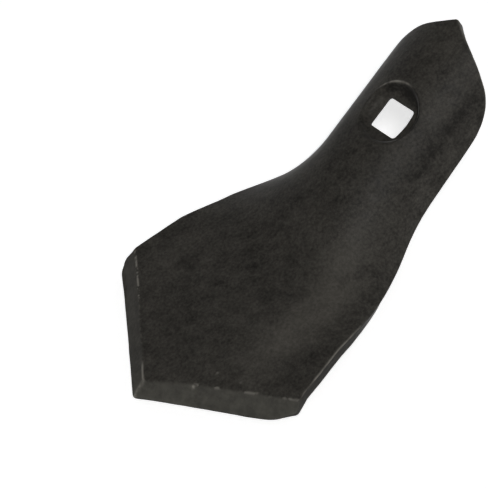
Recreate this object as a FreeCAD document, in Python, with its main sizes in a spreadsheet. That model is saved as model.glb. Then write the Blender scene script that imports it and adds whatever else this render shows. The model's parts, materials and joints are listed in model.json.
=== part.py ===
import FreeCAD, Part
import math
import os

import Sketcher

# A one-piece forged goosefoot share for a spring-tine cultivator.
# The share is designed lying in its blade plane: the point is the origin, +X runs along the crest
# towards the neck, and the front face of the blade is the plane z = 0. The body's Placement then
# tips it nose down, into the attitude in which it rests on a floor.

NODE = "share"

# name, value, meaning; lengths in millimetres, angles in degrees
SIZES = [
    ("wing_width", 70, "overall width across the wings"),
    ("thickness", 4, "plate thickness"),
    ("edge_half_angle", 57, "angle between the crest and each cutting edge"),
    ("wing_corner_radius", 3.5, "rounding of the wing corners in plan"),
    ("shoulder_angle", 9.1, "inward taper of the shoulders behind the wings"),
    ("bevel_width", 4.6, "width of the cutting bevel on the front face"),
    ("bevel_depth", 3.5, "depth of the bevel at the cutting edge"),
    ("blade_straight", 45, "straight crest length from the point to the bend"),
    ("bend_radius", 37, "radius of the crest where the blade bends into the neck"),
    ("bend_angle", 20.3, "angle between the blade and the neck"),
    ("crown_start", 43, "crest length at which the plate starts to curl"),
    ("crown_end", 87, "crest length at which the curl is complete"),
    ("crown_radius", 19.5, "outer radius of the curled neck"),
    ("crest_length", 130.5, "crest length from the point to the tip of the gable end"),
    ("neck_width", 47, "flat width of the neck at the gable's corners"),
    ("neck_side_angle", 4.5, "taper of each side of the neck"),
    ("gable_length", 15.5, "crest length taken up by the gable end"),
    ("gable_corner_radius", 18, "rounding of the gable's corners"),
    ("hole_position", 100, "crest length from the point to the bolt hole"),
    ("square_hole", 9, "side of the square bolt hole"),
    ("square_corner_radius", 0.8, "rounding of the corners of the square hole"),
    ("countersink_diameter", 17.6, "rim of the recess for the bolt head"),
    ("countersink_wall_depth", 2, "height of the steep wall under the rim"),
    ("countersink_wall_inset", 1, "how far that wall leans inwards"),
    ("countersink_floor_angle", 27, "slope of the conical floor of the recess"),
    ("rest_tilt", 2.92, "nose-down tilt at rest"),
    ("rest_lift", 4.004, "height of the blade's front face at the point, at rest"),
    ("rest_shift", -62.23, "shift that centres the share over the origin"),
]
CROWN_STEPS = 6
CLEARANCE = 12


def make_sizes(doc):
    sheet = doc.addObject("Spreadsheet::Sheet", "sizes")
    for row, (alias, value, meaning) in enumerate(SIZES, start=1):
        sheet.set(f"A{row}", meaning)
        sheet.set(f"B{row}", str(value))
        sheet.setAlias(f"B{row}", alias)
    doc.recompute()


# Expressions for points along the crest

def bend_at(place):
    turned = f"({place} - sizes.blade_straight) / sizes.bend_radius * 180 / pi"
    return f"max(0; min({turned}; sizes.bend_angle))"


def neck_run(place):
    arc_length = "sizes.bend_radius * sizes.bend_angle * pi / 180"
    return f"max(0; {place} - sizes.blade_straight - {arc_length})"


def crest_x(place):
    bend = bend_at(place)
    before = f"min({place}; sizes.blade_straight)"
    return f"({before} + sizes.bend_radius * sin({bend}) + {neck_run(place)} * cos({bend}))"


def crest_z(place):
    bend = bend_at(place)
    return f"(sizes.bend_radius * (1 - cos({bend})) + {neck_run(place)} * sin({bend}))"


# Expressions for the developed outline of the plate

CORNER_Y = "(sizes.wing_width / 2 - sizes.wing_corner_radius)"
CORNER_X = (f"((sizes.wing_corner_radius + {CORNER_Y} * cos(sizes.edge_half_angle))"
            " / sin(sizes.edge_half_angle))")


def half_width(place):
    corner = f"{CORNER_Y} + sizes.wing_corner_radius / cos(sizes.shoulder_angle)"
    shoulder = f"{corner} - tan(sizes.shoulder_angle) * ({place} - {CORNER_X})"
    to_gable = f"(sizes.crest_length - sizes.gable_length - {place})"
    side = f"sizes.neck_width / 2 + tan(sizes.neck_side_angle) * {to_gable}"
    return f"max({shoulder}; {side})"


# Sketch helpers

def origin_plane(body, role):
    return next(plane for plane in body.Origin.OriginFeatures if plane.Role == role)


def new_sketch(body, name, role, offset=None):
    sketch = body.newObject("Sketcher::SketchObject", name)
    sketch.AttachmentSupport = [(origin_plane(body, role), "")]
    sketch.MapMode = "FlatFace"
    if offset:
        sketch.setExpression("AttachmentOffset", offset)
    body.Document.recompute()
    return sketch


def number(sketch, expression):
    value = sketch.evalExpression(expression)
    return float(getattr(value, "Value", value))


def bind(sketch, kind, *terms, to):
    index = sketch.addConstraint(Sketcher.Constraint(kind, *terms, number(sketch, to)))
    sketch.setExpression(f"Constraints[{index}]", to)


def place_point(sketch, geometry, end, x_text, y_text):
    for kind, text in (("DistanceX", x_text), ("DistanceY", y_text)):
        if number(sketch, text) >= 0:
            bind(sketch, kind, -1, 1, geometry, end, to=text)
        else:
            bind(sketch, kind, geometry, end, -1, 1, to=f"-({text})")


def closed_outline(sketch, corners, arcs=None):
    """Join corners, given as pairs of expressions; arcs maps a side to (radius, x and y of its centre)."""
    arcs = arcs or {}
    points = [FreeCAD.Vector(number(sketch, x), number(sketch, y), 0) for x, y in corners]
    starts = []
    for side, start in enumerate(points):
        end = points[(side + 1) % len(points)]
        if side in arcs:
            radius_text, centre_x, centre_y = arcs[side]
            centre = FreeCAD.Vector(number(sketch, centre_x), number(sketch, centre_y), 0)
            start_angle = math.atan2(start.y - centre.y, start.x - centre.x)
            end_angle = math.atan2(end.y - centre.y, end.x - centre.x)
            clockwise = math.sin(end_angle - start_angle) < 0
            if clockwise:
                start_angle, end_angle = end_angle, start_angle
            circle = Part.Circle(centre, FreeCAD.Vector(0, 0, 1), number(sketch, radius_text))
            sketch.addGeometry(Part.ArcOfCircle(circle, start_angle, end_angle))
            starts.append((2, 1) if clockwise else (1, 2))
        else:
            sketch.addGeometry(Part.LineSegment(start, end))
            starts.append((1, 2))
    count = len(points)
    for side in range(count):
        following = (side + 1) % count
        joint = (side, starts[side][1], following, starts[following][0])
        sketch.addConstraint(Sketcher.Constraint("Coincident", *joint))
    for side, (x_text, y_text) in enumerate(corners):
        place_point(sketch, side, starts[side][0], x_text, y_text)
    for side, (radius_text, _, _) in arcs.items():
        bind(sketch, "Radius", side, to=radius_text)
    return sketch


def checked(feature, body, sign, base=None):
    """Recompute and make sure that the feature really added (sign 1) or removed (sign -1) metal."""
    body.Document.recompute()
    base = base or feature.BaseFeature
    change = sign * (feature.Shape.Volume - (base.Shape.Volume if base else 0))
    if change <= 0:
        raise RuntimeError(f"{feature.Name} changes nothing: {change}")
    return feature


def pocket_through(body, sketch, name, length):
    """Cut the sketch's area out on both sides of its plane, over the whole of the given length."""
    pocket = body.newObject("PartDesign::Pocket", name)
    pocket.Profile = sketch
    pocket.SideType = "Symmetric"
    pocket.setExpression("Length", length)
    pocket.Refine = True
    return checked(pocket, body, -1)


def mirrored(body, original, name):
    mirror = body.newObject("PartDesign::Mirrored", name)
    mirror.Originals = [original]
    mirror.MirrorPlane = (origin_plane(body, "XZ_Plane"), [""])
    body.Tip = mirror
    mirror.Refine = True
    return checked(mirror, body, -1, base=original)


# The share's features

def add_blade(body):
    """The flat blade: two cutting edges, rounded wing corners, tapering shoulders."""
    sketch = new_sketch(body, "blade_outline", "XY_Plane")
    radius = "sizes.wing_corner_radius"
    edge_x = f"({CORNER_X} - {radius} * sin(sizes.edge_half_angle))"
    edge_y = f"({CORNER_Y} + {radius} * cos(sizes.edge_half_angle))"
    side_x = f"({CORNER_X} + {radius} * sin(sizes.shoulder_angle))"
    side_y = f"({CORNER_Y} + {radius} * cos(sizes.shoulder_angle))"
    rear_x = "sizes.crown_start"
    rear_y = half_width("sizes.crown_start")
    corners = [("0", "0"), (edge_x, f"-{edge_y}"), (side_x, f"-{side_y}"), (rear_x, f"-({rear_y})"),
               (rear_x, rear_y), (side_x, side_y), (edge_x, edge_y)]
    arcs = {1: (radius, CORNER_X, f"-{CORNER_Y}"), 5: (radius, CORNER_X, CORNER_Y)}
    closed_outline(sketch, corners, arcs)
    pad = body.newObject("PartDesign::Pad", "blade")
    pad.Profile = sketch
    pad.Reversed = True
    pad.setExpression("Length", "sizes.thickness")
    return checked(pad, body, 1)


def add_section(body, name, place, share_of_curl):
    """A cross-section of the plate: flat, or curled to a share of the neck's full curvature."""
    turn = f"rotation(0; 0; -({bend_at(place)}))"
    spot = f"vector(0; {crest_z(place)}; {crest_x(place)})"
    sketch = new_sketch(body, name, "YZ_Plane", f"placement({spot}; {turn})")
    width = f"({half_width(place)})"
    if share_of_curl == 0:
        corners = [(f"-{width}", "0"), (width, "0"), (width, "-sizes.thickness"),
                   (f"-{width}", "-sizes.thickness")]
        return closed_outline(sketch, corners)
    outer = f"(sizes.crown_radius / {share_of_curl})"
    inner = f"({outer} - sizes.thickness)"
    angle = f"({width} / {outer} * 180 / pi)"
    corners = []
    for radius, side in ((outer, "-"), (outer, ""), (inner, ""), (inner, "-")):
        corners.append((f"{side}({radius} * sin({angle}))", f"({radius} * cos({angle}) - {outer})"))
    arcs = {0: (outer, "0", f"-{outer}"), 2: (inner, "0", f"-{outer}")}
    return closed_outline(sketch, corners, arcs)


def add_curl(body):
    """The plate curls from the flat blade into the half-tube of the neck as it passes the bend."""
    sections = []
    for step in range(CROWN_STEPS + 1):
        ratio = step / CROWN_STEPS
        place = f"(sizes.crown_start + {ratio:.6f} * (sizes.crown_end - sizes.crown_start))"
        share_of_curl = round(ratio * ratio * (3 - 2 * ratio), 6)
        sections.append(add_section(body, f"curl_section_{step}", place, share_of_curl))
    curl = body.newObject("PartDesign::AdditiveLoft", "curl")
    curl.Profile = sections[0]
    curl.Sections = sections[1:]
    checked(curl, body, 1)
    neck_end = add_section(body, "neck_section", "sizes.crest_length", 1)
    neck = body.newObject("PartDesign::AdditiveLoft", "neck")
    neck.Profile = sections[-1]
    neck.Sections = [neck_end]
    neck.Ruled = True
    return checked(neck, body, 1)


def neck_frame(place, roll="0"):
    spot = f"vector({crest_x(place)}; 0; {crest_z(place)})"
    return f"placement({spot}; rotation(0; -sizes.bend_angle; {roll}))"


def cut_gable(body):
    """The neck's end: each flank is cut square to its own face, from the crest to the side."""
    side = half_width("(sizes.crest_length - 2 * sizes.gable_length)")
    flank = f"({side} / 2 / sizes.crown_radius * 180 / pi)"
    chord = f"(2 * sizes.crown_radius * sin({flank}))"
    slope = f"atan({chord} / sizes.gable_length)"
    radius = "sizes.gable_corner_radius"
    sketch = new_sketch(body, "gable_outline", "XY_Plane", neck_frame("sizes.crest_length", flank))
    centre_y = f"(-{chord} + {radius})"
    centre_x = f"(({centre_y} - {radius} / cos({slope})) / tan({slope}))"
    touch_x = f"({centre_x} + {radius} * sin({slope}))"
    touch_y = f"({centre_y} - {radius} * cos({slope}))"
    beyond = f"({chord} + {CLEARANCE})"
    corners = [("0", "0"), (touch_x, touch_y), (centre_x, f"-{chord}"), (centre_x, f"-{beyond}"),
               (f"{CLEARANCE}", f"-{beyond}"), (f"{CLEARANCE}", "0")]
    closed_outline(sketch, corners, {1: (radius, centre_x, centre_y)})
    cut = pocket_through(body, sketch, "gable_cut", "2 * sizes.crown_radius")
    return mirrored(body, cut, "gable_cuts")


def cut_bevels(body):
    """A flat bevel along each cutting edge; the two meet in a ridge at the point."""
    offset = "placement(vector(0; 0; 0); rotation(0; sizes.edge_half_angle - 90; 0))"
    sketch = new_sketch(body, "bevel_profile", "XZ_Plane", offset)
    over = "(sizes.bevel_width / 2)"
    rise = "(sizes.bevel_depth / 2)"
    corners = [(f"-{over}", f"-(sizes.bevel_depth + {rise})"),
               (f"(sizes.bevel_width + {over})", rise), (f"-{over}", rise)]
    closed_outline(sketch, corners)
    cut = pocket_through(body, sketch, "bevel", "2 * sizes.wing_width")
    return mirrored(body, cut, "bevels")


def cut_square_hole(body):
    sketch = new_sketch(body, "square_outline", "XY_Plane", neck_frame("sizes.hole_position"))
    half = "(sizes.square_hole / 2)"
    flat = "(sizes.square_hole / 2 - sizes.square_corner_radius)"
    radius = "sizes.square_corner_radius"
    corners = []
    arcs = {}
    for x_sign, y_sign in (("-", "-"), ("", "-"), ("", ""), ("-", "")):
        on_x_side = (f"{x_sign}{half}", f"{y_sign}{flat}")
        on_y_side = (f"{x_sign}{flat}", f"{y_sign}{half}")
        turning = [on_x_side, on_y_side] if x_sign == y_sign else [on_y_side, on_x_side]
        arcs[len(corners)] = (radius, f"{x_sign}{flat}", f"{y_sign}{flat}")
        corners += turning
    closed_outline(sketch, corners, arcs)
    return pocket_through(body, sketch, "square_hole", "2 * sizes.crown_radius")


def cut_countersink(body):
    """The round recess for the bolt's head: a steep wall under the rim, then a conical floor."""
    place = "sizes.hole_position"
    spot = f"vector({crest_x(place)}; {crest_z(place)}; 0)"
    offset = f"placement({spot}; rotation(sizes.bend_angle; 0; 0))"
    sketch = new_sketch(body, "countersink_profile", "XZ_Plane", offset)
    rim = "(sizes.countersink_diameter / 2)"
    foot = f"({rim} - sizes.countersink_wall_inset)"
    top = "sizes.thickness"
    mouth = f"({rim} + sizes.countersink_wall_inset / sizes.countersink_wall_depth * {top})"
    floor = f"(sizes.countersink_wall_depth + {foot} * tan(sizes.countersink_floor_angle))"
    corners = [("0", top), ("0", f"-{floor}"), (foot, "-sizes.countersink_wall_depth"), (mouth, top)]
    closed_outline(sketch, corners)
    groove = body.newObject("PartDesign::Groove", "countersink")
    groove.Profile = sketch
    groove.ReferenceAxis = (sketch, ["V_Axis"])
    groove.Angle = 360
    groove.Refine = True
    return checked(groove, body, -1)


def build_share(doc):
    body = doc.addObject("PartDesign::Body", NODE)
    body.Label = NODE
    add_blade(body)
    add_curl(body)
    cut_gable(body)
    cut_bevels(body)
    cut_square_hole(body)
    cut_countersink(body)
    rest = "vector(sizes.rest_shift; 0; sizes.rest_lift); rotation(0; -sizes.rest_tilt; 0)"
    body.setExpression("Placement", f"placement({rest})")
    doc.recompute()
    return body


def check_document(doc, parts):
    for item in doc.Objects:
        if "Invalid" in item.State or "Error" in item.State:
            raise RuntimeError(f"{item.Name} failed: {item.State}")
    for item in parts:
        if item.Shape.isNull() or not item.Shape.isValid():
            raise RuntimeError(f"{item.Label} has no valid shape")


def main():
    os.makedirs("parts", exist_ok=True)
    doc = FreeCAD.newDocument("goosefoot_share")
    make_sizes(doc)
    share = build_share(doc)
    check_document(doc, [share])
    share.Shape.exportStep(f"parts/{NODE}.step")
    box = share.Shape.optimalBoundingBox(False, False)
    print(NODE, "volume", round(share.Shape.Volume), "box", box)


main()
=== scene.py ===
import json
import math

import bpy
import numpy as np
from mathutils import Matrix, Vector, noise
from mathutils.geometry import delaunay_2d_cdt


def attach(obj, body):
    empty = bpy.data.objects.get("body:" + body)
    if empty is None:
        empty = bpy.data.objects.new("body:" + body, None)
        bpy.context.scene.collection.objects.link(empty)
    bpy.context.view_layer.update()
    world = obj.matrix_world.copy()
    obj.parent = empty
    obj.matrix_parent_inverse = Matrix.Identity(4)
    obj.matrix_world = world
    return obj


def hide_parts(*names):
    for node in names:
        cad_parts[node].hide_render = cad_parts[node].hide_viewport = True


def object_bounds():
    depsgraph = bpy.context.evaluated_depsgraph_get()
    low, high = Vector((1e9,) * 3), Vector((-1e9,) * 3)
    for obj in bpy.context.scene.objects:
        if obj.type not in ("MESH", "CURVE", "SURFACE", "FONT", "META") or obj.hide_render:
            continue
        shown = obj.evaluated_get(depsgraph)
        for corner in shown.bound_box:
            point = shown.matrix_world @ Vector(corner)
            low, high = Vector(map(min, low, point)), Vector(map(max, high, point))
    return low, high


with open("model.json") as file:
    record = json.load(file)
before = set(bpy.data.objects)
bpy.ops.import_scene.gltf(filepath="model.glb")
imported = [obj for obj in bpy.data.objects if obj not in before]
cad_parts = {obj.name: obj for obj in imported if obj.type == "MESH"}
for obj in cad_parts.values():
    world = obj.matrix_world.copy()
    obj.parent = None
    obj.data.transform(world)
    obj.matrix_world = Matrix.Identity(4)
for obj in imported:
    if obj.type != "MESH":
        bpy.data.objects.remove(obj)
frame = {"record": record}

# A forged goosefoot share. Its shape is worked out in millimetres on the flat, developed plate:
# s runs along the crest from the point, t runs across it, and depth goes in from the front face.
# place() then bends and curls the plate and lays it down at rest.

MM = 0.001
cad_low, cad_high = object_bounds()

# ---------------------------------------------------------------- sizes in millimetres and degrees

THICKNESS = 4.0
EDGE_ANGLE = math.radians(57)
CORNER_RADIUS = 3.5
SHOULDER_TAPER = math.tan(math.radians(9.1))
BEVEL_WIDTH = 4.6
BEVEL_SLOPE = 3.5 / BEVEL_WIDTH
BLADE_STRAIGHT = 45.0
BEND_RADIUS = 37.0
BEND_ANGLE = math.radians(20.3)
CROWN_START = 43.0
CROWN_END = 87.0
CROWN_RADIUS = 19.5
CREST_LENGTH = 130.5
GABLE_LENGTH = 15.5
NECK_HALF_WIDTH = 23.5
NECK_TAPER = math.tan(math.radians(4.5))
HOLE_AT = 100.0
HOLE_SIDE = 9.0
RECESS_OFFSET = 0.5
RECESS_RADIUS = 8.8
RECESS_WALL_DEPTH = 2.0
RECESS_WALL_INSET = 1.0
RECESS_FLOOR_SLOPE = math.tan(math.radians(27))
UNDERSIDE_SPOT = (27.0, 0.0, -THICKNESS)

FRONT_EDGE_ROUND = 0.45
BACK_EDGE_ROUND = 0.7
EDGE_LAND = 0.62
BACK_EDGE_LAND = 0.82
HOLE_FRONT_ROUND = 0.16
HOLE_BACK_ROUND = 0.3
HOLE_LAND = 0.4
HOLE_BACK_LAND = 0.5

FRONT_STEP = 0.55
BACK_STEP = 0.8
FLOOR_GLOW = 0.55


# ---------------------------------------------------------------- bending the developed plate

def mounts_by_name():
    return {mount["name"]: mount for mount in frame["record"]["mounts"]}


def rest_pose():
    """Turn and shift, in millimetres, from the plate lying in its blade plane to the share at rest."""
    underside = mounts_by_name()["blade_underside"]
    axis = underside["axis"]
    tilt = math.atan2(axis[0], -axis[2])
    turn = np.array([[math.cos(tilt), 0, -math.sin(tilt)], [0, 1, 0], [math.sin(tilt), 0, math.cos(tilt)]])
    shift = np.array(underside["pos_m"]) / MM - turn @ np.array(UNDERSIDE_SPOT)
    return turn, shift


REST_TURN, REST_SHIFT = rest_pose()


def place(s, t, depth):
    """Points of the plate at rest, in millimetres, for arrays of developed places and depths."""
    bend = np.clip((s - BLADE_STRAIGHT) / BEND_RADIUS, 0, BEND_ANGLE)
    run = np.maximum(0, s - BLADE_STRAIGHT - BEND_RADIUS * BEND_ANGLE)
    x = np.minimum(s, BLADE_STRAIGHT) + BEND_RADIUS * np.sin(bend) + run * np.cos(bend)
    z = BEND_RADIUS * (1 - np.cos(bend)) + run * np.sin(bend)
    along = np.clip((s - CROWN_START) / (CROWN_END - CROWN_START), 0, 1)
    curl = np.maximum(along * along * (3 - 2 * along) / CROWN_RADIUS, 1e-7)
    turn = curl * t
    y = np.sin(turn) / curl - depth * np.sin(turn)
    drop = 2 * np.sin(turn / 2) ** 2 / curl + depth * np.cos(turn)
    lying = np.stack([x + drop * np.sin(bend), y, z - drop * np.cos(bend)], -1)
    return lying @ REST_TURN.T + REST_SHIFT


def hole_frame():
    """The crest point over the bolt hole, and the directions along the neck, across it and out of it."""
    centre, ahead = place(np.array([HOLE_AT, HOLE_AT + 1]), np.zeros(2), np.zeros(2))
    along = ahead - centre
    across = np.array([0.0, 1.0, 0.0])
    return centre, np.stack([along, across, np.cross(along, across)])


HOLE_CENTRE, HOLE_AXES = hole_frame()


# ---------------------------------------------------------------- smooth helpers

def smooth_step(low, high, value):
    u = np.clip((value - low) / (high - low), 0, 1)
    return u * u * (3 - 2 * u)


def smooth_max(a, b, blend):
    overlap = np.maximum(blend - np.abs(a - b), 0) / blend
    return np.maximum(a, b) + overlap * overlap * blend / 4


def smooth_min(a, b, blend):
    return -smooth_max(-a, -b, blend)


def blot(s, t, centre, length, width, angle=0.0):
    """A soft oval mark, 1 in its middle and 0 outside; angle is measured from the crest, in degrees."""
    turn = math.radians(angle)
    ds = s - centre[0]
    dt = t - centre[1]
    along = (ds * math.cos(turn) + dt * math.sin(turn)) / (length / 2)
    across = (dt * math.cos(turn) - ds * math.sin(turn)) / (width / 2)
    return np.exp(-1.6 * (along * along + across * across))


def sum_of_blots(s, t, marks):
    """Soft marks added up. Each says how much, then the middle, length, width and angle for blot()."""
    return sum(amount * blot(s, t, *shape) for amount, *shape in marks)


def grain(s, t, size, layer, octaves=3):
    """Seeded fractal noise of about -1 to 1 over the developed plate; layer picks the pattern."""
    field = [noise.fractal(Vector((a / size, b / size, layer * 7.31)), 0.9, 2.0, octaves)
             for a, b in zip(np.ravel(s), np.ravel(t))]
    return np.array(field).reshape(np.shape(s))


# ---------------------------------------------------------------- the two faces of the plate

def edge_distance(s, t, side):
    """Distance in from one cutting edge; side is +1 or -1."""
    return s * math.sin(EDGE_ANGLE) - side * t * math.cos(EDGE_ANGLE)


def along_edge(s, t, side):
    """Distance from the point, measured along one cutting edge."""
    return s * math.cos(EDGE_ANGLE) + side * t * math.sin(EDGE_ANGLE)


def bevel_width(s, t, side):
    """The hand-ground bevels narrow towards the point; the +t one widens towards its wing."""
    along = along_edge(s, t, side)
    if side > 0:
        return BEVEL_WIDTH - 0.6 * smooth_step(12, 3, along) + 0.8 * smooth_step(12, 38, along)
    return BEVEL_WIDTH - 0.9 * smooth_step(16, 3, along) - 0.2 * smooth_step(24, 38, along)


def bevel_lines(s, t):
    """Distance in from the inner line of each bevel: negative on the ground face."""
    return [edge_distance(s, t, side) - bevel_width(s, t, side) for side in (1, -1)]


def bevel_depth(s, t):
    left, right = bevel_lines(s, t)
    ground = smooth_max(smooth_max(-BEVEL_SLOPE * left, -BEVEL_SLOPE * right, 0.12), 0, 0.3)
    return np.minimum(ground, 3.6)


# Dents from the hammer on the middle of the blade, two nicks above the bevel and one low swelling.
DENTS = [(0.16, (45.5, -8.5), 9, 3.4, -62), (0.14, (48.0, -13.5), 6.5, 3.0, -20),
         (0.12, (57.5, -18.6), 9, 2.2, 3), (0.1, (46.0, 3.0), 8, 5, 40),
         (0.13, (18.6, -15.2), 1.8, 1.3, 30), (0.1, (18.4, -13.0), 1.5, 1.2),
         (-0.05, (28.0, -1.2), 6, 4, 20)]


def front_depth(s, t):
    """Depth of the front face: bevels, hammer marks, scale and a few dents."""
    forged = 0.07 * grain(s, t, 17, 1, 2) + 0.022 * grain(s, t, 3.2, 2, 3)
    return bevel_depth(s, t) + forged + sum_of_blots(s, t, DENTS)


def back_depth(s, t):
    return THICKNESS - 0.06 * grain(s, t, 15, 5, 2) - 0.03 * grain(s, t, 3.5, 6, 3)


def recess_floor(along, across):
    """Height of the bolt recess below the crest; its floor dips where the curled plate falls away."""
    radius = np.hypot(along, across)
    foot = RECESS_RADIUS - RECESS_WALL_INSET
    falling = CROWN_RADIUS - np.sqrt(CROWN_RADIUS ** 2 - np.minimum(np.abs(across), 6) ** 2)
    floor = -RECESS_WALL_DEPTH - (foot - radius) * RECESS_FLOOR_SLOPE - 1.1 * falling
    wall = -RECESS_WALL_DEPTH + (radius - foot) * RECESS_WALL_DEPTH / RECESS_WALL_INSET
    return smooth_max(floor, wall, 0.5)


def front_face(s, t, extra_depth=0.0):
    """Points of the front face at rest, with the bolt recess sunk into it."""
    points = place(s, t, front_depth(s, t) + extra_depth)
    local = (points - HOLE_CENTRE) @ HOLE_AXES.T
    along = local[:, 0] - RECESS_OFFSET
    radius = np.hypot(along, local[:, 1])
    pitted = 0.05 * grain(s, t, 2.4, 9, 3)

    # The rim is crisp on its upper side and worn blunt towards the blade and the +t side.
    blunt = np.maximum(smooth_step(-2, -7, along - 1.1 * local[:, 1]), smooth_step(-3, -7, along))
    worn_round = 0.25 + 1.5 * blunt
    sunk = smooth_min(local[:, 2], recess_floor(along, local[:, 1]) + pitted - extra_depth, worn_round)
    local[:, 2] = np.where(radius < RECESS_RADIUS + 4, sunk, local[:, 2])
    return local @ HOLE_AXES + HOLE_CENTRE


def back_face(s, t, less_depth=0.0):
    return place(s, t, back_depth(s, t) - less_depth)


# ---------------------------------------------------------------- outlines on the developed plate

def rounded_polygon(corners, radii, dense_step=0.04):
    """A closed polyline with a tangent arc at each corner, drawn with closely spaced points."""
    corners = np.array(corners, float)
    points = []
    for index, corner in enumerate(corners):
        into = corner - corners[index - 1]
        out = corners[(index + 1) % len(corners)] - corner
        into /= np.linalg.norm(into)
        out /= np.linalg.norm(out)
        turn = math.atan2(into[0] * out[1] - into[1] * out[0], into @ out)
        tangent = radii[index] * math.tan(abs(turn) / 2)
        start = corner - into * tangent
        side = np.sign(turn) * np.array([-into[1], into[0]])
        centre = start + side * radii[index]
        for angle in np.linspace(0, turn, max(3, int(radii[index] * abs(turn) / dense_step))):
            c, q = math.cos(angle), math.sin(angle)
            arm = start - centre
            points.append(centre + np.array([c * arm[0] - q * arm[1], q * arm[0] + c * arm[1]]))
    return np.array(points)


def resample(loop, step, corner_points):
    """Points round a closed polyline, about a step apart and closer where it turns."""
    closed = np.vstack([loop, loop[:1]])
    pieces = np.diff(closed, axis=0)
    lengths = np.linalg.norm(pieces, axis=1)
    heading = np.unwrap(np.arctan2(pieces[:, 1], pieces[:, 0]))
    turning = np.abs(np.diff(np.append(heading, heading[0] + 2 * np.pi * np.sign(heading[-1] - heading[0]))))
    weight = np.concatenate([[0], np.cumsum(lengths / step + corner_points * turning)])
    count = int(round(weight[-1]))
    wanted = np.arange(count) * weight[-1] / count
    return np.stack([np.interp(wanted, weight, closed[:, axis]) for axis in (0, 1)], -1)


def left_normals(loop):
    """Unit normals to the left of the way round, which is the side the metal is on."""
    tangent = np.roll(loop, -1, axis=0) - np.roll(loop, 1, axis=0)
    tangent /= np.linalg.norm(tangent, axis=1)[:, None]
    return np.stack([-tangent[:, 1], tangent[:, 0]], -1)


def share_outline():
    """The plate's outline, counter-clockwise from the point, with slightly uneven, forged edges."""
    corner_y = cad_high.y / MM - CORNER_RADIUS
    corner_x = (CORNER_RADIUS + corner_y * math.cos(EDGE_ANGLE)) / math.sin(EDGE_ANGLE)
    shoulder = corner_y + CORNER_RADIUS * math.hypot(1, SHOULDER_TAPER) + SHOULDER_TAPER * corner_x
    wing_s = shoulder / (math.tan(EDGE_ANGLE) + SHOULDER_TAPER)
    gable_s = CREST_LENGTH - GABLE_LENGTH
    neck = NECK_HALF_WIDTH + NECK_TAPER * gable_s
    waist_s = (shoulder - neck) / (SHOULDER_TAPER - NECK_TAPER)
    wing_t = wing_s * math.tan(EDGE_ANGLE)
    waist = (waist_s, neck - NECK_TAPER * waist_s)
    gable = (gable_s, NECK_HALF_WIDTH)

    # Each wing is blunted by three corners: the end of the cutting edge, the tip, the start of the shoulder.
    right_wing = [(wing_s + ds, wing_t + dt) for ds, dt in ((-2.1, -3.23), (2.7, 0.43), (7.2, -1.15))]
    left_wing = [(wing_s + ds, wing_t + dt) for ds, dt in ((-1.0, -1.65), (2.3, 0.35), (4.7, -1.0))]
    right = [(s, -t) for s, t in right_wing + [waist, gable]]
    left = [gable, waist] + left_wing[::-1]
    corners = [(0, 0)] + right + [(CREST_LENGTH, 0)] + left
    radii = [1.2, 8, 1.2, 2.5, 180, 17, 1.2, 17, 180, 3.5, 1.6, 6]
    loop = resample(rounded_polygon(corners, radii), 0.5, 3.6)
    s, t = loop.T

    # How far the forging has pushed the rim out: the -t cutting edge, the gable, the -t side, the +t side.
    uneven = 0.1 * grain(s, t, 9, 21, 3) + 0.45 * blot(s, t, (17.5, -27.0), 20, 8, -57)
    uneven += 0.55 * blot(s, np.abs(t), (121, 15), 22, 12, -56) + 0.85 * blot(s, t, (124, 10), 15, 12, -56)
    uneven += 0.38 * smooth_step(20, 30, s) * smooth_step(-8, -14, t) * smooth_step(122, 112, s)
    uneven += 0.3 * blot(s, t, (36, 33), 44, 12) - 0.5 * blot(s, t, (101, 24), 26, 8)
    return loop - left_normals(loop) * uneven[:, None]


def hole_outline():
    """The square hole in the hole's own plane, clockwise, so that the metal is on its left."""
    half = HOLE_SIDE / 2
    corners = [(-half, -half), (-half, half), (half, half), (half, -half)]
    return resample(rounded_polygon(corners, [0.8] * 4, 0.02), 0.3, 5)


def developed(flat, depth):
    """Where a point of the hole's plane lies on the developed plate, at a depth in the metal."""
    turn = np.arcsin(flat[:, 1] / (CROWN_RADIUS - depth))
    return np.stack([HOLE_AT + flat[:, 0], CROWN_RADIUS * turn], -1)


# ---------------------------------------------------------------- points inside a face

class Scatter:
    """Collects points that keep a given gap from each other."""

    def __init__(self, cell=0.6):
        self.cell = cell
        self.cells = {}
        self.points = []

    def add(self, points, gap):
        for point in points:
            home = (int(point[0] // self.cell), int(point[1] // self.cell))
            near = (self.points[k] for i in (-1, 0, 1) for j in (-1, 0, 1)
                    for k in self.cells.get((home[0] + i, home[1] + j), ()))
            if all(math.hypot(point[0] - p[0], point[1] - p[1]) >= gap for p in near):
                self.cells.setdefault(home, []).append(len(self.points))
                self.points.append((float(point[0]), float(point[1])))


def inside(points, loop):
    """Which points lie inside a closed polyline."""
    crossings = np.zeros(len(points), int)
    for start, end in zip(loop, np.roll(loop, -1, axis=0)):
        spans = (points[:, 1] >= start[1]) != (points[:, 1] >= end[1])
        if spans.any():
            at = start[0] + (points[:, 1] - start[1]) / (end[1] - start[1]) * (end[0] - start[0])
            crossings += spans & (points[:, 0] < at)
    return crossings % 2 == 1


def hex_grid(step):
    """Evenly spaced points in staggered rows over the whole developed plate."""
    half_span = 36
    rows = np.arange(-half_span, half_span, step * math.sqrt(3) / 2)
    places = np.arange(-1, CREST_LENGTH + 1, step)
    return np.array([(s + step / 2 * (row % 2), t) for row, t in enumerate(rows) for s in places])


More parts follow.
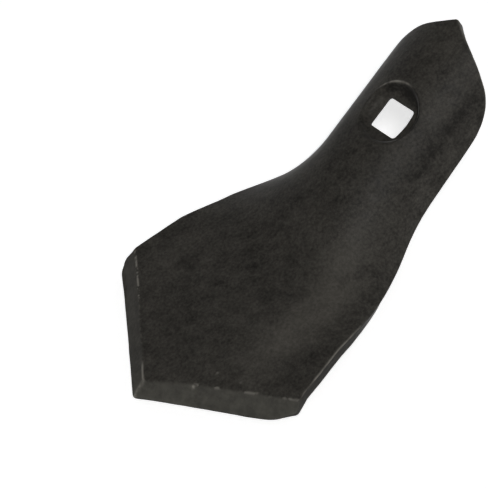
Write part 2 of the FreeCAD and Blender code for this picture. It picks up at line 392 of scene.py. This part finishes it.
def ridge_points():
    """Rows of points along the bevels' inner lines and along the arris where they meet."""
    direction = np.array([math.cos(EDGE_ANGLE), math.sin(EDGE_ANGLE)])
    inward = np.array([math.sin(EDGE_ANGLE), -math.cos(EDGE_ANGLE)])
    points = []
    for offset in (0.0, -0.22, 0.22, -0.5, 0.5):
        for length in np.arange(2, 46, 0.4):
            for side in (1, -1):
                width = bevel_width(length * direction[0], side * length * direction[1], side)
                point = direction * length + inward * (width + offset)
                if point[1] > 0.1:
                    points.append(point * (1, side))
    arris_end = BEVEL_WIDTH / math.sin(EDGE_ANGLE)
    points += [np.array([s, t]) for t in (0, -0.25, 0.25) for s in np.arange(1, arris_end, 0.35)]
    return np.array(points)


def recess_points():
    """Rings round the bolt hole, close together over the rim and the steep wall."""
    rings = []
    for outset in (0, -0.15, 0.18, -0.35, 0.4, -0.55, -0.75, -0.95, -1.15, 0.7, -1.4, 1.0, -1.7, 1.4, -2.1):
        radius = RECESS_RADIUS + outset
        angle = np.linspace(0, 2 * np.pi, 160, endpoint=False)
        rings.append(np.stack([RECESS_OFFSET + radius * np.cos(angle), radius * np.sin(angle)], -1))
    return developed(np.vstack(rings), 0)


def fill_face(outer, inner, extra):
    """Triangles between two loops. Returns the added points and the triangles, which count outer first."""
    scatter = Scatter()
    scatter.add(outer, 0)
    scatter.add(inner, 0)
    kept = len(outer) + len(inner)
    for points, gap in extra:
        points = points[inside(points, outer) & ~inside(points, inner)]
        scatter.add(points, gap)
    loops = []
    for first, count in ((0, len(outer)), (len(outer), len(inner))):
        loops += [(first + k, first + (k + 1) % count) for k in range(count)]
    vertices = [Vector(point) for point in scatter.points]
    found, _, triangles, source, _, _ = delaunay_2d_cdt(vertices, loops, [], 0, 1e-6)
    names = np.array([min(originals) for originals in source])
    flat = np.array([tuple(v) for v in found])
    triangles = np.array(triangles)
    middles = flat[triangles].mean(axis=1)
    good = inside(middles, outer) & ~inside(middles, inner)
    return np.array(scatter.points[kept:]), names[triangles[good]]


# ---------------------------------------------------------------- the closed mesh

class MeshParts:
    """Vertices in millimetres with their marks, and faces, gathered part by part."""

    def __init__(self):
        self.vertices = []
        self.marks = []
        self.faces = []
        self.count = 0

    def add_points(self, points, marks):
        numbers = np.arange(self.count, self.count + len(points))
        self.vertices.append(points)
        self.marks.append(marks)
        self.count += len(points)
        return numbers

    def add_strip(self, rows):
        """Quads between neighbouring rows of vertex numbers, each row a closed loop."""
        for upper, lower in zip(rows, rows[1:]):
            around = np.stack([upper, lower, np.roll(lower, -1), np.roll(upper, -1)], -1)
            self.faces += around.tolist()


# What surface_marks() gives for each vertex, in this order; the material reads them as attributes.
MARK_NAMES = ("ground", "wear_and_glint", "cut_wall", "tone")

# Changes in the front's tone, as soft marks. Positive is paler, negative is darker. The pale fan over the
# blade is a painted highlight.
PAINTED_HIGHLIGHT_FAN = [(0.44, (62, -14.5), 24, 12, 8), (0.6, (47, -20), 32, 14, -8), (0.3, (32, -19), 24, 12, -20)]
PALE_PATCHES = [(0.1, (123, -1), 9, 16), (0.12, (40, 24), 26, 12)]
DARK_PATCHES = [(-0.06, (114, 6), 14, 12), (-0.12, (53, 22), 22, 12), (-0.14, (56, -27), 16, 6),
                (-0.12, (85, -13), 14, 6), (-0.1, (34, -29), 18, 7)]
# Painted shade over the hammer dents.
PAINTED_DENT_SHADE = [(-0.12, (45.5, -8.5), 9, 2.4, -62), (-0.1, (48.0, -13.5), 6.5, 2.2, -20),
               (-0.16, (57.5, -18.6), 9, 1.8, 3), (-0.14, (46.0, 3.0), 8, 4, 40)]

# Chips of bare steel on the -t bevel's inner line: middle, size and how bare.
CHIPS = [((12.4, -11.6), 0.9, 0.9), ((18.9, -13.6), 0.7, 0.5), ((21.5, -20.3), 0.8, 0.4)]


def bare_ridges(s, t):
    """Bare steel, 0 to 1, in dashes along the bevels' inner lines and along the arris between them."""
    left, right = bevel_lines(s, t)
    patches = grain(s, t, 4.2, 31, 3)
    fine = grain(s, t, 1.1, 32, 2)
    on_left = along_edge(s, t, 1)
    ridge = np.exp(-(left / 0.24) ** 2) * (left < right)
    dashes = smooth_step(-0.2, 0.4, 0.5 * patches + 1.6 * fine)
    wear_and_glint = ridge * dashes * (0.12 + 0.75 * smooth_step(25, 29, on_left))
    wear_and_glint += 0.85 * ridge * smooth_step(8.5, 6, on_left)
    ridge = np.exp(-(right / 0.3) ** 2) * (right < left)
    wear_and_glint = np.maximum(wear_and_glint, 0.45 * ridge * smooth_step(0.25, 0.6, patches + 0.6 * fine))
    arris = np.exp(-((left - right) / 0.45) ** 2) * (np.minimum(left, right) < 0.2)
    wear_and_glint = np.maximum(wear_and_glint, 0.5 * arris * smooth_step(-0.6, 0.2, fine + 0.2))
    for middle, size, bare in CHIPS:
        wear_and_glint = np.maximum(wear_and_glint, bare * blot(s, t, middle, size, size))
    return wear_and_glint


def round_recess(s, t):
    """Distance from the middle of the bolt recess, and the angle round it in degrees."""
    along, across = s - HOLE_AT - RECESS_OFFSET, CROWN_RADIUS * np.sin(t / CROWN_RADIUS)
    return np.hypot(along, across), np.degrees(np.arctan2(across, along))


def painted_rim_highlight(s, t):
    """Painted highlight, in bare-steel colour, on the crisp upper part of the recess's rim where it catches
    the light.
    """
    away, clock = round_recess(s, t)
    rim = np.exp(-((away - RECESS_RADIUS) / 0.22) ** 2)
    rim *= smooth_step(-14, 4, clock) * smooth_step(66, 50, clock)
    return rim * (0.4 + 0.5 * np.exp(-((clock - 27) / 11) ** 2) + 0.5 * grain(s, t, 1.1, 32, 2))


def tone_with_painted_light(s, t):
    """How pale the front and the cut sides are, from 0 to 1.4: the varnish's random tone, with painted
    highlights and painted shade laid into it.
    """
    tone = 0.38 + 0.1 * grain(s, t, 14, 33, 3)
    tone += sum_of_blots(s, t, PAINTED_HIGHLIGHT_FAN + PALE_PATCHES + DARK_PATCHES + PAINTED_DENT_SHADE)

    # A painted dark band, standing for a dark reflection, runs up the -t side of the neck, and painted shade
    # dulls the strip outside it.
    tone -= 0.34 * np.exp(-((t + 16.4) / 2.2) ** 2) * smooth_step(84, 98, s) * smooth_step(124, 110, s)
    tone -= 0.08 * smooth_step(-18, -21, t) * smooth_step(80, 95, s)

    # Painted light and shade in the recess: its floor is painted paler where lit, and a crescent of painted
    # shade lies under its upper wall.
    away, clock = round_recess(s, t)
    deep = np.exp(-((clock + 20) / 35) ** 2)
    recess_shade = np.exp(-((away - 7.7 + 0.7 * deep) / (0.75 + 0.65 * deep)) ** 2)
    tone += 0.12 * smooth_step(8.5, 6.5, away)
    tone -= 0.5 * recess_shade * smooth_step(-130, -70, clock) * smooth_step(62, 38, clock)
    return np.clip(tone, 0, 1.4)


def surface_marks(s, t, kind):
    """Marks for the material: ground bevels, bare steel from wear and from painted highlights, cut walls, and
    tone with painted light; kind is front, wall or back.
    """
    if kind == "back":
        none = np.zeros(len(s))
        return np.stack([none, none, none, 0.4 + 0.16 * grain(s, t, 16, 37, 3)], -1)
    left, right = bevel_lines(s, t)
    ground = np.maximum(0.45 * smooth_step(0.15, -0.35, left), smooth_step(0.5, -0.6, right))
    wear_and_glint = bare_ridges(s, t)
    if kind == "front":
        wear_and_glint = np.maximum(wear_and_glint, painted_rim_highlight(s, t))
    wall = np.full(len(s), 1.0 if kind == "wall" else 0.0)
    return np.stack([ground, wear_and_glint, wall, tone_with_painted_light(s, t)], -1)


def quarter_round(radius, degrees):
    """Inset from the side and depth under the face, at angles round a rounded edge of that radius."""
    return [(radius * (1 - math.sin(angle)), radius * (1 - math.cos(angle))) for angle in np.radians(degrees)]


def outer_strip(parts, outline):
    """The plate's rim: rounded front edge, cut side, rounded back edge. Returns its first and last rows."""
    normals = left_normals(outline)
    s, t = outline.T
    local = THICKNESS - bevel_depth(s, t)
    front_round = np.minimum(FRONT_EDGE_ROUND, 0.4 * local)
    back_round = np.minimum(BACK_EDGE_ROUND, 0.4 * local)
    rows = []

    def add_row(inset, lowered, kind, bare=0.0):
        spot_s, spot_t = (outline + normals * np.reshape(inset, (-1, 1))).T
        marks = surface_marks(spot_s, spot_t, kind)
        # Painted edge highlights, as bare-steel colour, come in through bare.
        marks[:, 1] = np.maximum(marks[:, 1], bare)
        if kind == "back":
            points = back_face(spot_s, spot_t, lowered)
        elif kind == "front":
            points = place(spot_s, spot_t, front_depth(spot_s, spot_t) + lowered)
        else:
            top = front_depth(spot_s, spot_t) + front_round
            low = back_depth(spot_s, spot_t) - back_round
            points = place(spot_s, spot_t, top + (low - top) * lowered)
        rows.append(parts.add_points(points, marks))

    # Painted highlights along the front edge, in bare-steel colour, on the -t shoulder, on the +t waist and
    # on one side of the gable.
    edge_glint = 0.5 * smooth_step(28, 32, s) * smooth_step(56, 46, s) * (t < 0)
    edge_glint += 0.45 * smooth_step(50, 58, s) * smooth_step(84, 74, s) * (t > 0)
    edge_glint += 0.35 * smooth_step(114, 119, s) * (t < 0)
    edge_glint *= smooth_step(-0.7, 0.1, grain(s, t, 3, 42, 2))

    add_row(np.full(len(outline), EDGE_LAND), 0, "front")
    for (inset, lowered), strength in zip(quarter_round(front_round, (12, 35, 62)), (0.3, 1.0, 0.8)):
        add_row(inset, lowered, "front", strength * edge_glint)
    for way_down in np.linspace(0, 1, 7):
        torn = 0.07 * grain(s + 40 * way_down, t, 2.6, 41, 3)
        add_row(0.03 + torn * math.sin(math.pi * way_down), way_down, "wall")
    for inset, lowered in quarter_round(back_round, (62, 35, 12)):
        add_row(inset, lowered, "back")
    add_row(np.full(len(outline), BACK_EDGE_LAND), 0, "back")
    parts.add_strip(rows)
    return rows[0], rows[-1], outline + normals * EDGE_LAND, outline + normals * BACK_EDGE_LAND


def hole_strip(parts, outline):
    """The square hole's wall with its softened edges. Returns its first and last rows."""
    normals = left_normals(outline)
    rows = []

    def add_row(points, spots, kind):
        rows.append(parts.add_points(points, surface_marks(spots[:, 0], spots[:, 1], kind)))

    for outset, lowered in [(HOLE_LAND, 0)] + quarter_round(HOLE_FRONT_ROUND, (20, 50)):
        spots = developed(outline + normals * outset, 0)
        add_row(front_face(spots[:, 0], spots[:, 1], lowered), spots, "front")
    front_spots = developed(outline, 0)
    back_spots = developed(outline, THICKNESS)
    top = front_face(front_spots[:, 0], front_spots[:, 1], HOLE_FRONT_ROUND)
    low = back_face(back_spots[:, 0], back_spots[:, 1], HOLE_BACK_ROUND)
    for way_down in np.linspace(0, 1, 7):
        add_row(top + (low - top) * way_down, front_spots, "wall")
    for outset, lowered in quarter_round(HOLE_BACK_ROUND, (50, 20)) + [(HOLE_BACK_LAND, 0)]:
        spots = developed(outline + normals * outset, THICKNESS)
        add_row(back_face(spots[:, 0], spots[:, 1], lowered), spots, "back")
    parts.add_strip(rows)
    front_loop = developed(outline + normals * HOLE_LAND, 0)
    back_loop = developed(outline + normals * HOLE_BACK_LAND, THICKNESS)
    return rows[0], rows[-1], front_loop, back_loop


def add_face(parts, outer, inner, extra, kind):
    """Fills one face between the rim's row and the hole's row, each given as vertex numbers and places."""
    added, triangles = fill_face(outer[1], inner[1], extra)
    s, t = added.T
    points = front_face(s, t) if kind == "front" else back_face(s, t)
    numbers = np.concatenate([outer[0], inner[0], parts.add_points(points, surface_marks(s, t, kind))])
    if kind == "back":
        triangles = triangles[:, ::-1]
    parts.faces += numbers[triangles].tolist()


def build_share():
    parts = MeshParts()
    outer_front, outer_back, outer_front_loop, outer_back_loop = outer_strip(parts, share_outline())
    hole_front, hole_back, hole_front_loop, hole_back_loop = hole_strip(parts, hole_outline())
    front_extra = [(ridge_points(), 0.19), (recess_points(), 0.13), (hex_grid(FRONT_STEP), 0.4)]
    back_extra = [(hex_grid(BACK_STEP), 0.55)]
    add_face(parts, (outer_front, outer_front_loop), (hole_front, hole_front_loop), front_extra, "front")
    add_face(parts, (outer_back, outer_back_loop), (hole_back, hole_back_loop), back_extra, "back")

    mesh = bpy.data.meshes.new("share_forging")
    mesh.from_pydata((np.vstack(parts.vertices) * MM).tolist(), [], parts.faces)
    mesh.shade_smooth()
    marks = np.vstack(parts.marks)
    for column, name in enumerate(MARK_NAMES):
        layer = mesh.attributes.new(name, "FLOAT", "POINT")
        layer.data.foreach_set("value", marks[:, column].astype(np.float32))
    share = bpy.data.objects.new("share_forging", mesh)
    bpy.context.collection.objects.link(share)
    return share


# ---------------------------------------------------------------- materials

def add_node(tree, kind, **settings):
    node = tree.nodes.new(kind)
    for name, value in settings.items():
        setattr(node, name, value)
    return node


def noise_value(tree, coordinates, scale, detail, roughness=0.55):
    node = add_node(tree, "ShaderNodeTexNoise")
    node.inputs["Scale"].default_value = scale
    node.inputs["Detail"].default_value = detail
    node.inputs["Roughness"].default_value = roughness
    tree.links.new(coordinates, node.inputs["Vector"])
    return node.outputs["Fac"]


def remap(tree, value, from_low, from_high, to_low, to_high):
    node = add_node(tree, "ShaderNodeMapRange")
    limits = {"From Min": from_low, "From Max": from_high, "To Min": to_low, "To Max": to_high}
    for name, number in limits.items():
        node.inputs[name].default_value = number
    tree.links.new(value, node.inputs["Value"])
    return node.outputs["Result"]


def mix_colour(tree, factor, first, second):
    node = add_node(tree, "ShaderNodeMix", data_type="RGBA")
    tree.links.new(factor, node.inputs["Factor"])
    for socket, value in ((node.inputs[6], first), (node.inputs[7], second)):
        if isinstance(value, tuple):
            socket.default_value = (*value, 1)
        else:
            tree.links.new(value, socket)
    return node.outputs[2]


def add_value(tree, first, second):
    node = add_node(tree, "ShaderNodeMath", operation="ADD")
    tree.links.new(first, node.inputs[0])
    tree.links.new(second, node.inputs[1])
    return node.outputs[0]


def mix_value(tree, factor, first, second):
    node = add_node(tree, "ShaderNodeMix", data_type="FLOAT")
    tree.links.new(factor, node.inputs["Factor"])
    for socket, value in ((node.inputs[2], first), (node.inputs[3], second)):
        if isinstance(value, (int, float)):
            socket.default_value = value
        else:
            tree.links.new(value, socket)
    return node.outputs[0]


def black_steel():
    """Forging scale under a thin matt black varnish, thinner on the ground bevels and gone from the ridges.
    The tone and the bare-steel mark also carry painted highlights and painted shade.
    """
    material = bpy.data.materials.new("black_steel")
    material.use_nodes = True
    tree = material.node_tree
    shader = tree.nodes["Principled BSDF"]
    coordinates = add_node(tree, "ShaderNodeTexCoord").outputs["Object"]
    ground, wear_and_glint, wall, tone = (add_node(tree, "ShaderNodeAttribute", attribute_name=name).outputs["Fac"]
                                for name in MARK_NAMES)

    drawn_out = add_node(tree, "ShaderNodeMapping", vector_type="TEXTURE")
    drawn_out.inputs["Scale"].default_value = (1.5, 0.9, 0.9)
    drawn_out.inputs["Rotation"].default_value = (0, 0, -0.8)
    tree.links.new(coordinates, drawn_out.inputs["Vector"])
    clouds = noise_value(tree, drawn_out.outputs["Vector"], 260, 3, 0.5)
    mottle = noise_value(tree, coordinates, 420, 5, 0.65)
    specks = noise_value(tree, coordinates, 1300, 3, 0.6)
    patchy = add_value(tree, tone, remap(tree, clouds, 0.3, 0.7, -0.12, 0.12))
    patchy = add_value(tree, patchy, remap(tree, mottle, 0.3, 0.7, -0.13, 0.13))
    patchy = add_value(tree, patchy, remap(tree, specks, 0.3, 0.7, -0.24, 0.24))
    paleness = remap(tree, patchy, 0, 1.4, 0, 1)
    # The tone mixes the varnish's own colour with painted highlights and painted shade.
    varnish = mix_colour(tree, paleness, (0.0141, 0.0129, 0.0112), (0.0930, 0.0864, 0.0745))
    dull = remap(tree, mottle, 0.35, 0.65, 0, 1)
    bevel = mix_colour(tree, dull, (0.046, 0.0445, 0.038), (0.070, 0.067, 0.057))
    colour = mix_colour(tree, remap(tree, ground, 0, 1, 0, 0.85), varnish, bevel)
    colour = mix_colour(tree, remap(tree, wall, 0, 1, 0, 0.7), colour, (0.024, 0.0225, 0.020))
    # Bare-steel colour for wear, also laid on as painted highlights on the recess rim and the front edges.
    colour = mix_colour(tree, wear_and_glint, colour, (0.26, 0.245, 0.215))
    tree.links.new(colour, shader.inputs["Base Color"])

    tree.links.new(remap(tree, wear_and_glint, 0.2, 1, 0, 0.4), shader.inputs["Metallic"])
    rough = remap(tree, mottle, 0.35, 0.65, 0.46, 0.60)
    rough = mix_value(tree, ground, rough, 0.60)
    tree.links.new(rough, shader.inputs["Roughness"])
    shader.inputs["Specular IOR Level"].default_value = 0.13
    shader.inputs["Sheen Weight"].default_value = 0.2
    shader.inputs["Sheen Roughness"].default_value = 0.3

    relief = add_node(tree, "ShaderNodeBump")
    relief.inputs["Strength"].default_value = 0.5
    relief.inputs["Distance"].default_value = 0.00006
    tree.links.new(noise_value(tree, coordinates, 1500, 6, 0.6), relief.inputs["Height"])
    tree.links.new(relief.outputs["Normal"], shader.inputs["Normal"])
    return material


def floor_material():
    """Pale matt paper on a light table, so that it glows a little."""
    material = bpy.data.materials.new("pale_floor")
    material.use_nodes = True
    tree = material.node_tree
    shader = tree.nodes["Principled BSDF"]
    coordinates = add_node(tree, "ShaderNodeTexCoord").outputs["Object"]
    paper = mix_colour(tree, noise_value(tree, coordinates, 3, 2), (0.84, 0.84, 0.84), (0.87, 0.87, 0.865))
    tree.links.new(paper, shader.inputs["Base Color"])
    shader.inputs["Roughness"].default_value = 0.9
    shader.inputs["Specular IOR Level"].default_value = 0.1
    shader.inputs["Emission Color"].default_value = (1, 1, 1, 1)
    shader.inputs["Emission Strength"].default_value = FLOOR_GLOW
    return material


# ---------------------------------------------------------------- floor, lights and camera

CAMERA_AZIMUTH = -25.50
CAMERA_ELEVATION = 51.53
CAMERA_LEAN = 19.29
CAMERA_DISTANCE = 0.29364
CAMERA_LENS = 84.67
AIM = Vector((-0.01695, 0.00181, 0.0189))
SENSOR_WIDTH = 36


def direction(azimuth, elevation):
    """From the object outwards; azimuth 0 is towards -Y."""
    a, e = math.radians(azimuth), math.radians(elevation)
    return Vector((math.sin(a) * math.cos(e), -math.cos(a) * math.cos(e), math.sin(e)))


def add_camera():
    data = bpy.data.cameras.new("photo_camera")
    data.lens = CAMERA_LENS
    data.sensor_width = SENSOR_WIDTH
    data.clip_start = 0.01
    camera = bpy.data.objects.new("photo_camera", data)
    bpy.context.collection.objects.link(camera)
    back = direction(CAMERA_AZIMUTH, CAMERA_ELEVATION)
    level_right = Vector((0, 0, 1)).cross(back).normalized()
    level_up = back.cross(level_right)
    lean = math.radians(CAMERA_LEAN)
    up = level_up * math.cos(lean) + level_right * math.sin(lean)
    right = up.cross(back)
    camera.matrix_world = Matrix.LocRotScale(AIM + back * CAMERA_DISTANCE,
                                             Matrix((right, up, back)).transposed().to_quaternion(), None)
    bpy.context.scene.camera = camera


def add_softbox(name, azimuth, elevation, distance, size, power):
    data = bpy.data.lights.new(name, "AREA")
    data.shape = "DISK"
    data.size = size
    data.energy = power
    light = bpy.data.objects.new(name, data)
    away = direction(azimuth, elevation)
    light.location = AIM + away * distance
    light.rotation_mode = "QUATERNION"
    light.rotation_quaternion = away.to_track_quat("Z", "Y")
    bpy.context.collection.objects.link(light)


def add_floor():
    """A pale paper sweep: flat round the object and turned up far away on all sides."""
    flat_radius, turn_radius, segments = 0.7, 0.5, 96
    profile = [(0.0, 0.0), (flat_radius, 0.0)]
    profile += [(flat_radius + turn_radius * math.sin(a), turn_radius * (1 - math.cos(a)))
                for a in np.radians(range(10, 81, 10))]
    vertices = [(0, 0, 0)]
    for radius, height in profile[1:]:
        for k in range(segments):
            angle = 2 * math.pi * k / segments
            vertices.append((radius * math.cos(angle), radius * math.sin(angle), height))
    faces = [(0, 1 + k, 1 + (k + 1) % segments) for k in range(segments)]
    for ring in range(len(profile) - 2):
        first = 1 + ring * segments
        for k in range(segments):
            following = (k + 1) % segments
            faces.append((first + k, first + segments + k, first + segments + following, first + following))
    mesh = bpy.data.meshes.new("floor")
    mesh.from_pydata(vertices, [], faces)
    mesh.shade_smooth()
    mesh.materials.append(floor_material())
    floor = bpy.data.objects.new("floor", mesh)
    floor.location.z = cad_low.z
    bpy.context.collection.objects.link(floor)
    floor.visible_glossy = False


def add_world():
    world = bpy.data.worlds.new("studio")
    world.use_nodes = True
    world.node_tree.nodes["Background"].inputs["Color"].default_value = (0.13, 0.13, 0.13, 1)
    bpy.context.scene.world = world


# ---------------------------------------------------------------- putting it together

bpy.context.scene.view_settings.view_transform = "Standard"
add_world()
add_floor()
add_camera()
add_softbox("key_by_camera", CAMERA_AZIMUTH + 4, CAMERA_ELEVATION + 4, 1.3, 0.4, 6.8)
add_softbox("rim_behind_left", 160, 8, 1.0, 0.5, 0.7)
add_softbox("fill_behind", 95, 12, 1.2, 0.7, 4.0)

share = build_share()
share.data.materials.append(black_steel())
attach(share, "root")
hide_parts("share")
